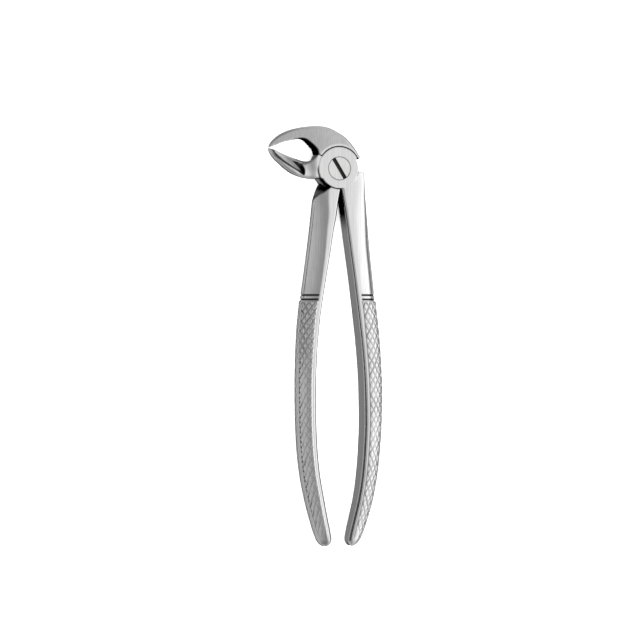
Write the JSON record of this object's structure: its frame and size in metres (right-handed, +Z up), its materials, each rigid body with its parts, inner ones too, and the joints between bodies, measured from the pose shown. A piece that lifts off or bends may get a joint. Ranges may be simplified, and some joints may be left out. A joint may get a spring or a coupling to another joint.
{
  "type": "dental extraction forceps",
  "caption": "Stainless lower extraction forceps with beaks at right angles to knurled bow handles, a lap joint and a slotted pivot screw.",
  "frame": {"origin": "centre of the footprint of the closed instrument lying flat, on the plane that its handles rest on", "axes": "+Z up, along the hinge axis towards the screw head; +Y along the instrument towards the joint; -X is the side that the beaks point to"},
  "size_m": [0.0494, 0.1748, 0.0112],
  "materials": {
    "lever_steel": "satin-polished stainless steel, knurled on the grips",
    "screw_steel": "fine-ground stainless steel"
  },
  "bodies": {
    "rear_lever": {"rear_lever": "lever_steel", "pivot_screw": "screw_steel"},
    "front_lever": {"front_lever": "lever_steel"}
  },
  "joints": [
    {"name": "forceps_hinge", "type": "hinge", "parent": "rear_lever", "child": "front_lever", "pos_m": [0.00493, 0.06972, 0.0056], "axis": [0, 0, 1], "range_deg": [0, 26]}
  ]
}
